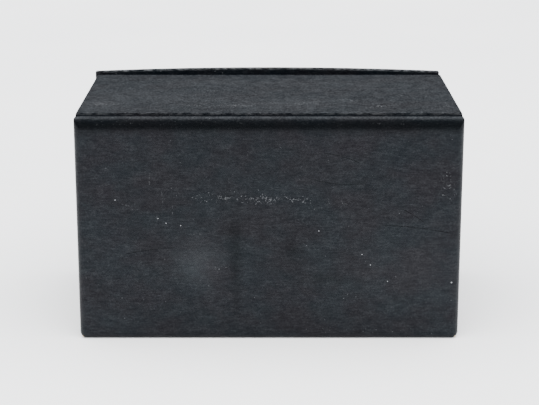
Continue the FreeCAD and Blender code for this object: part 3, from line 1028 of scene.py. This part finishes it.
    def spread(self, vertices: np.ndarray, marks: tuple[Mark, ...]) -> np.ndarray:
        """Adds up marks on the outer face: each fades as exp(-(distance / size) squared).

        The outer face is an upright board's near one and a level board's upper one.

        Args:
            vertices: vertex by x, y and z.
            marks: the marks.

        Returns:
            The total at each vertex, from 0 to 1.
        """
        across, up, through = self.lie.value
        x, z = vertices[:, across, None] / MM, vertices[:, up, None] / MM
        centre = np.array([(mark.x, mark.z, mark.across, mark.up, mark.strength) for mark in marks])
        far = ((x - centre[:, 0]) / centre[:, 2]) ** 2 + ((z - centre[:, 1]) / centre[:, 3]) ** 2
        total = (centre[:, 4] * np.exp(-far)).sum(axis=1)
        low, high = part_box(self.node)
        if self.lie is Lie.UPRIGHT:
            outer = vertices[:, through] < low[through] + 6 * MM
        else:
            outer = vertices[:, through] > high[through] - 1 * MM
        return np.clip(total, 0, 1) * outer

    def build(self, cloth: bpy.types.Material) -> bpy.types.Object:
        """Builds the piece in its cloth.

        Args:
            cloth: the book cloth.

        Returns:
            The piece's object.
        """
        made = self.mesh().piece(cloth, self.body, self.node)
        return made


@dataclass
class TrayCloth:
    """The tray's cloth: up the outside, over the rim and down inside to its cut edge.

    The surface is a closed profile carried round the tray's rounded rectangle: the profile goes
    up the outside, over the rim as two quarter circles, down the turn-in, and back between cloth
    and board.
    """

    node: str = "tray_cloth"
    cloth: float = 0.6 * MM
    board: float = 2.5 * MM
    rim: float = 1.2 * MM
    corner: float = 1.5 * MM
    turn_in: float = 12 * MM

    def profile(self, low: float, high: float) -> np.ndarray:
        """Works out the profile.

        Args:
            low: the height of the cloth's lower edge.
            high: the height of the tray's rim.

        Returns:
            Point by inset from the tray's outside and height.
        """
        swing = np.linspace(0, math.pi / 2, 7)
        depth = 2 * self.cloth + self.board
        near, far = self.rim * (1 - np.cos(swing)), self.rim * (1 - np.sin(swing))
        outer = np.stack([near, high - far], -1)
        inner = np.stack([depth - far, high - near], -1)
        back = depth - self.cloth
        ends = [
            [depth, high - self.turn_in],
            [back, high - self.turn_in],
            [back, high - self.cloth],
            [self.cloth, high - self.cloth],
            [self.cloth, low],
        ]
        return np.concatenate([[[0, low]], outer, inner, ends])

    def build(self, cloth: bpy.types.Material) -> bpy.types.Object:
        """Builds the piece in its cloth.

        Args:
            cloth: the book cloth.

        Returns:
            The piece's object.
        """
        low, high = (np.array(corner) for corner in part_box(self.node))
        profile = self.profile(low[2], high[2])
        inset = profile[:, 0]
        spans = np.stack(
            [low[0] + inset, high[0] - inset, low[1] + inset, high[1] - inset], axis=-1
        )
        radii = np.full((len(profile), 2), self.corner)
        loops, _ = rounded_loop(spans, radii, 120, 70, 6)
        rings, points = loops.shape[:2]
        heights = np.repeat(profile[:, 1], points).reshape(rings, points, 1)
        vertices = np.concatenate([loops, heights], axis=-1).reshape(-1, 3)
        rub = np.zeros(rings)
        rub[3:12] = 0.8
        quads = ring_faces(rings, points, closed=True)
        mesh = Mesh("tray_cover", vertices, quads, numbers={"rub": np.repeat(rub, points)})
        made = mesh.piece(cloth, "case", self.node)
        return made


@dataclass
class ClothJoint:
    """The cloth of a hinge: a strip pressed into the groove between two covered boards.

    Across the joint the strip's height is the line between its two ends, less a half wave whose
    depth is the groove's. The strip has the cloth's thickness and closed ends.
    """

    name: str
    node: str
    bodies: tuple[str, str]
    heights: tuple[float, float]
    depth: float
    overlap: float
    thick: float = 0.6 * MM
    steps: int = 18

    def build(self, cloth: bpy.types.Material) -> bpy.types.Object:
        """Builds the strip in its cloth, dipped into its groove and fixed in place on neither of
        its two bodies.

        Args:
            cloth: the book cloth.

        Returns:
            The strip's object.
        """
        low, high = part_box(self.node)
        share = np.linspace(0, 1, self.steps)
        y = low.y - self.overlap + share * (high.y - low.y + 2 * self.overlap)
        dip = np.sin(math.pi * np.clip((y - low.y) / (high.y - low.y), 0, 1)) * self.depth
        top = self.heights[0] + (self.heights[1] - self.heights[0]) * share - dip
        section = np.concatenate(
            [np.stack([y, top], -1), np.stack([y, top - self.thick], -1)[::-1]]
        )
        x = np.linspace(low.x, high.x, 160)
        rings, points = x.size, len(section)
        vertices = np.empty((rings, points, 3))
        vertices[..., 0] = x[:, None]
        vertices[..., 1:] = section
        vertices = vertices.reshape(-1, 3)
        caps = [vertices[:points].mean(axis=0), vertices[-points:].mean(axis=0)]
        vertices = np.concatenate([vertices, caps])
        ends = [cap_faces(0, points, rings * points)[:, ::-1],
                cap_faces((rings - 1) * points, points, rings * points + 1)]
        mesh = Mesh(self.name, vertices, ring_faces(rings, points, False), np.concatenate(ends))
        made = mesh.piece(cloth, "", self.node)
        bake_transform(made)
        return made


# ---------------------------------------------------------------------------------- the box
@dataclass
class Spine:
    """The thick spine panel under its cloth, the face of the closed box that gets the wear."""

    head: float = 9 * MM
    foot: float = 4 * MM
    side: float = 6 * MM
    scuffs: tuple[Mark, ...] = (
        Mark(-42, 121, 26, 5, 0.9),
        Mark(8, 119, 30, 5, 0.9),
        Mark(62, 116, 26, 4, 0.5),
        Mark(144, 129, 7, 18, 0.7),
        Mark(-44, 61, 9, 3, 0.7),
        Mark(62, 8, 46, 4, 0.45),
    )
    blooms: tuple[Mark, ...] = (Mark(-58, 65, 18, 17, 0.55), Mark(110, 63, 50, 30, 0.15))
    # Grime marks, and two full-width bands of painted shade (the last two marks).
    grime_and_shade: tuple[Mark, ...] = (
        Mark(-27, 65, 5, 42, 0.5),
        Mark(46, 52, 17, 4, 0.45),
        Mark(19, 75, 6, 10, 0.45),
        Mark(-29, 93, 7, 6, 0.3),
        Mark(-34, 121, 4, 13, 0.25),
        # Painted shade along the foot, where the rounded edge turns down to the floor.
        Mark(0, -1, 900, 4, 0.8),
        # Painted shade in a band under the rounded head, where it reflects the dark surround.
        Mark(0, 180, 900, 5.5, 0.85),
    )

    def build(self, cloth: bpy.types.Material) -> None:
        """Builds the spine's cover.

        Args:
            cloth: the book cloth.
        """
        board = CoveredBoard(
            name="spine_cover",
            node="spine_cloth",
            body="case",
            lie=Lie.UPRIGHT,
            near=Edges(self.foot, self.side, self.head),
            far=Edges(0.4 * MM, 0.4 * MM, 0.6 * MM),
            corners=(5 * MM, 1.6 * MM),
            face_rings=44,
            # Faint edge paling: wear, with a little painted highlight on the head's crown.
            thinned_and_lit=0.16,
            backing=0.15 * MM,
            marks={"scuff": self.scuffs, "bloom": self.blooms, "grime_and_shade": self.grime_and_shade},
        )
        board.build(cloth)


@dataclass
class FlatBoards:
    """The lid and the base: flat boards in cloth, with small rounded edges."""

    edge: float = 1.3 * MM
    corner: float = 1.3 * MM
    scuffs: tuple[Mark, ...] = (
        Mark(-49, 15, 12, 3, 0.9),
        Mark(-40, 52, 20, 4, 0.8),
        Mark(-4, 52, 14, 4, 0.6),
        Mark(-59, -48, 26, 5, 0.9),
        Mark(-26, -48, 16, 5, 0.9),
        Mark(-136, -42, 14, 12, 0.7),
        Mark(91, -52, 14, 8, 1.0),
        Mark(66, -26, 16, 10, 0.8),
        Mark(27, -42, 18, 8, 0.8),
        Mark(147, -48, 6, 20, 0.8),
    )
    blooms: tuple[Mark, ...] = (
        Mark(-90, -10, 60, 40, 0.25),
        Mark(20, -38, 40, 22, 0.4),
        Mark(-45, 50, 50, 12, 0.3),
        Mark(-136, -42, 16, 14, 0.35),
        Mark(60, 40, 60, 26, 0.2),
    )

    def build(self, cloth: bpy.types.Material) -> None:
        """Builds the covers of the lid and the base.

        Args:
            cloth: the book cloth.
        """
        edges = Edges(self.edge, self.edge, self.edge)
        slight = Edges(0.8 * MM, 0.8 * MM, 0.8 * MM)
        corners = (self.corner, self.corner)
        CoveredBoard(
            name="lid_cover",
            node="lid_cloth",
            body="lid",
            lie=Lie.LEVEL,
            near=slight,
            far=edges,
            corners=corners,
            face_rings=44,
            lined=True,
            marks={"scuff": self.scuffs, "bloom": self.blooms},
        ).build(cloth)
        CoveredBoard("base_cover", "base_cloth", "case", Lie.LEVEL, edges, slight, corners).build(
            cloth
        )


@dataclass
class Flap:
    """The fore-edge flap, whose bowed top edge stands above the lid."""

    crown: float = 3.3 * MM
    edge: float = 1.3 * MM
    corner: float = 1.3 * MM

    def build(self, cloth: bpy.types.Material) -> None:
        """Builds the flap's cover.

        Args:
            cloth: the book cloth.
        """
        edges = Edges(self.edge, self.edge, self.edge)
        board = CoveredBoard(
            name="flap_cover",
            node="flap_cloth",
            body="flap",
            lie=Lie.UPRIGHT,
            near=Edges(0.8 * MM, 0.8 * MM, 1.9 * MM),
            far=edges,
            corners=(self.corner, self.corner),
            crown=self.crown,
            # Strong edge paling: wear, and a painted highlight along the flap's top edge.
            thinned_and_lit=3.4,
            lined=True,
        )
        board.build(cloth)


@dataclass
class Joints:
    """The two cloth hinges: spine to lid, and lid to flap."""

    overlap: float = 1.2 * MM

    def build(self, cloth: bpy.types.Material) -> None:
        """Builds both strips.

        Args:
            cloth: the book cloth.
        """
        spine_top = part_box("spine_cloth")[1].z
        lid_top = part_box("lid_cloth")[1].z
        ClothJoint(
            "lid_joint",
            "lid_joint_cloth",
            ("case", "lid"),
            (spine_top - 0.8 * MM, lid_top - 1.2 * MM),
            2.0 * MM,
            self.overlap,
        ).build(cloth)
        ClothJoint(
            "flap_joint",
            "flap_joint_cloth",
            ("lid", "flap"),
            (lid_top - 1.2 * MM, lid_top - 0.8 * MM),
            1.6 * MM,
            self.overlap,
        ).build(cloth)


@dataclass
class Fittings:
    """The pieces that keep their CAD shape: each gets its finish, and those with a radius get
    softened edges.
    """

    finishes: tuple[tuple[object, float, tuple[str, ...]], ...] = (
        (Poplar(), 0.0, ("spine_panel",)),
        (
            BindersBoard(),
            0.0,
            (
                "base_board", "lid_board", "flap_board", "tray_floor", "tray_back_wall",
                "tray_front_wall", "tray_left_wall", "tray_right_wall",
            ),
        ),
        (
            LiningPaper(),
            0.0,
            (
                "base_lining", "lid_lining", "flap_lining", "floor_lining", "back_lining",
                "front_lining", "left_lining", "right_lining",
            ),
        ),
        (PlatedSteel(), 0.25, ("label_holder", "label_holder_rivets", "pull_tab_rivet")),
        (
            PlatedSteel("bright_zinc_plate", "a2a5a8", "7d8084", 0.35),
            0.2,
            ("tray_closure_plates", "flap_magnets"),
        ),
        (CardStock(), 0.0, ("label_card",)),
        (Leather(), 0.45, ("pull_tab",)),
    )

    def dress(self) -> None:
        """Gives each CAD piece its finish, and welds and bevels those with a radius."""
        for finish, radius, nodes in self.finishes:
            material = finish.make()
            for name in nodes:
                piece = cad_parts[name]
                piece.data.materials.clear()
                piece.data.materials.append(material)
                if radius:
                    self.soften(piece, radius * MM)
                LOG.info("%s: %s", name, material.name)

    def soften(self, piece: bpy.types.Object, radius: float) -> None:
        """Welds a piece's loose triangles and rounds its edges.

        Args:
            piece: the piece.
            radius: the edges' radius in metres.
        """
        weld = piece.modifiers.new("weld", "WELD")
        weld.merge_threshold = 0.002 * MM
        bevel = piece.modifiers.new("bevel", "BEVEL")
        bevel.width = radius
        bevel.segments = 3
        bevel.limit_method = "ANGLE"
        bevel.angle_limit = math.radians(35)


@dataclass
class Studio:
    """The stage: a plain pale floor, a pale surround, soft light, and the camera."""

    floor_half: float = 9.0
    energy: float = 13.0
    front_wall: float = 0.4
    back_wall: float = 0.22
    window: float = 1.3
    lens: float = 103.2
    pitch: float = math.radians(15.36)
    camera_side: float = 0.0004
    camera_back: float = 1.2030
    camera_height: float = 0.4474

    def floor(self) -> None:
        """Lays the floor, a sheet of matte white paper: soft, slightly cool and not quite even."""
        shader = Shader("matte_paper_floor", 0.75)
        cloud = shader.ramp(shader.noise((700.0, 700.0, 700.0), 2.0), 0.35, 0.65)
        shader.set(Base_Color=shader.blend(cloud, linear("eeeff1"), linear("f2f3f4")))
        half = self.floor_half
        corners = [(-half, -half, 0), (half, -half, 0), (half, half, 0), (-half, half, 0)]
        mesh = bpy.data.meshes.new("floor")
        mesh.from_pydata(corners, [], [(0, 1, 2, 3)])
        mesh.materials.append(shader.material)
        made = bpy.data.objects.new("floor", mesh)
        bpy.context.scene.collection.objects.link(made)
        made.location.z = -0.02 * MM

    def surround(self) -> None:
        """Sets the surround: a dim wall behind with a tall soft window in it, and dark overhead.

        The wall is even round the horizon, and paler to the front and sides than behind. Above
        it the surround falls to dark, except behind, where the window lies from 25 to 60 degrees.
        """
        world = bpy.data.worlds.new("surround")
        world.use_nodes = True
        tree = world.node_tree
        tree.nodes.clear()
        way = add(tree, "TexCoord").outputs["Generated"]
        axes = add(tree, "SeparateXYZ", {"Vector": way}).outputs

        def ramp(value: Socket, low: float, high: float, start: float, end: float) -> Socket:
            """Carries a value from low..high smoothly to start..end.

            Args:
                value: the value.
                low: where the change begins.
                high: where it ends.
                start: the result at low.
                end: the result at high.

            Returns:
                The result's socket.
            """
            ends = {"From Min": low, "From Max": high, "To Min": start, "To Max": end}
            made = add(tree, "MapRange", {"Value": value} | ends, interpolation_type="SMOOTHSTEP")
            return made.outputs["Result"]

        def multiply(first: Socket, second: Socket) -> Socket:
            """Multiplies two values.

            Args:
                first: the first value.
                second: the second value.

            Returns:
                The product's socket.
            """
            return add(tree, "Math", {0: first, 1: second}, operation="MULTIPLY").outputs[0]

        behind = ramp(axes["Y"], 0.0, 0.3, 0.0, 1.0)
        wall = multiply(ramp(axes["Y"], -0.2, 0.3, self.front_wall, self.back_wall),
                        ramp(axes["Z"], 0.05, 0.3, 1.0, 0.06))
        window = multiply(ramp(axes["Z"], 0.38, 0.50, 0.0, self.window),
                          ramp(axes["Z"], 0.80, 0.92, 1.0, 0.0))
        level = add(tree, "Math", {0: wall, 1: multiply(window, behind)}, operation="ADD")
        sky = add(tree, "Background", {"Color": linear("f1f4fa"), "Strength": level.outputs[0]})
        add(tree, "OutputWorld", {"Surface": sky.outputs[0]})
        bpy.context.scene.world = world

    def light(self) -> None:
        """Lights the stage: broad soft light from above and in front, with no hard shadow."""
        lamp = bpy.data.lights.new("room_light", "SUN")
        lamp.energy = self.energy
        lamp.angle = math.radians(110)
        made = bpy.data.objects.new("room_light", lamp)
        made.rotation_euler = (math.radians(20), 0.0, 0.0)
        made.visible_glossy = False
        bpy.context.scene.collection.objects.link(made)

    def camera(self) -> None:
        """Sets the camera square on to the spine, a little above it."""
        data = bpy.data.cameras.new("camera")
        data.lens = self.lens
        data.sensor_width = 36.0
        data.sensor_fit = "HORIZONTAL"
        made = bpy.data.objects.new("camera", data)
        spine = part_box("spine_cloth")[0].y
        made.location = (self.camera_side, spine - self.camera_back, self.camera_height)
        made.rotation_euler = (math.pi / 2 - self.pitch, 0.0, 0.0)
        bpy.context.scene.collection.objects.link(made)
        bpy.context.scene.camera = made

    def build(self) -> None:
        """Sets up the whole stage."""
        self.floor()
        self.surround()
        self.light()
        self.camera()


def main() -> None:
    """Builds the box and its stage, in order."""
    logging.basicConfig(level=logging.INFO, format="%(name)s: %(message)s")
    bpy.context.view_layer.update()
    cloth = BookCloth().make()
    for assembly in (Spine(), FlatBoards(), Flap(), TrayCloth(), Joints()):
        assembly.build(cloth)
    Fittings().dress()
    Studio().build()
    bpy.context.view_layer.update()


if __name__ == "__main__":
    main()
